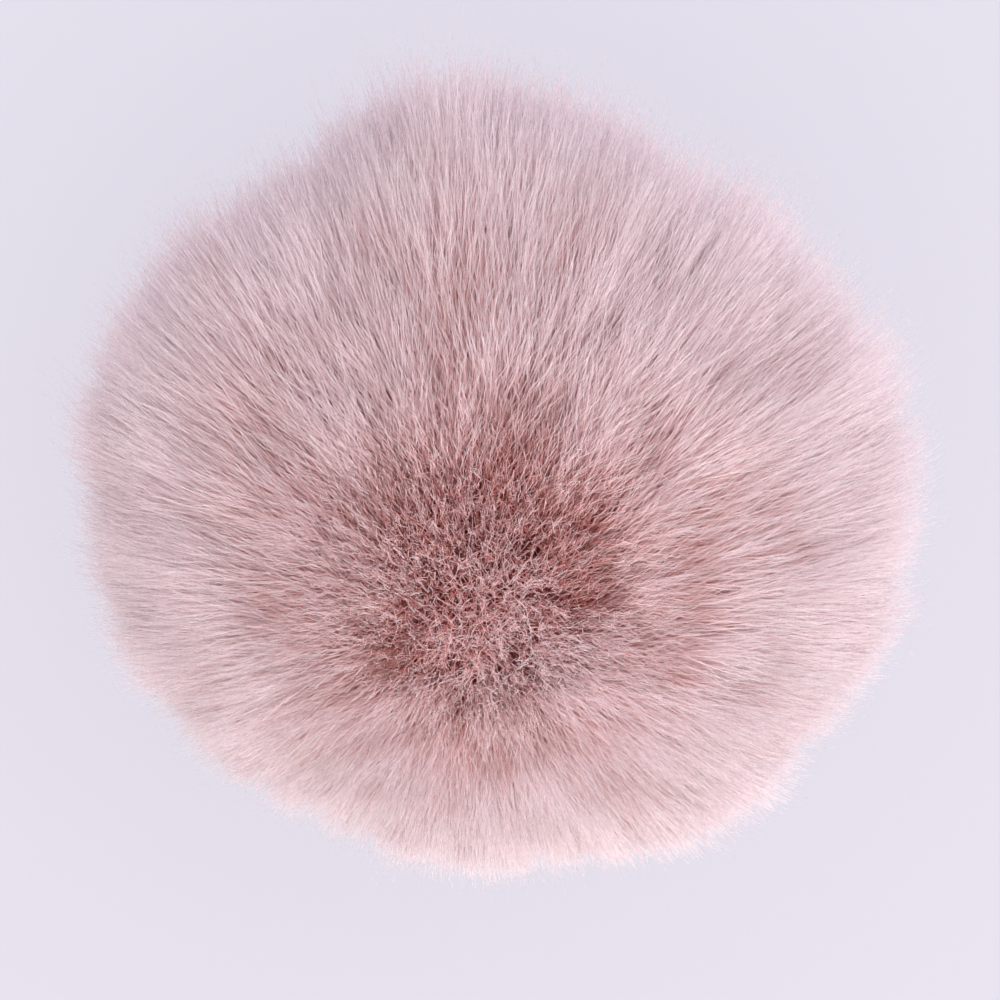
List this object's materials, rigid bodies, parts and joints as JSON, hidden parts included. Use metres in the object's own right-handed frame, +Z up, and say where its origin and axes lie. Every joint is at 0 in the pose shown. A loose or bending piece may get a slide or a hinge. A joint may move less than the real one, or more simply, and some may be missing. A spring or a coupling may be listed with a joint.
{
  "type": "faux fur pom pom",
  "caption": "Fluffy ball of long dense pile, pressed level where it rests, with its whorl turned up and to the front.",
  "frame": {"origin": "on the table, under the middle of the pom pom", "axes": "+Z up from the table, -Y towards the front, where the pile is short, +Y towards the back, where it is long"},
  "size_m": [0.0982, 0.0942, 0.0873],
  "materials": {
    "pile": "fine soft acrylic pile, pale and see-through at the tips and deeper pink towards the roots"
  },
  "bodies": {
    "root": {"fur_ball": "pile"}
  },
  "joints": []
}
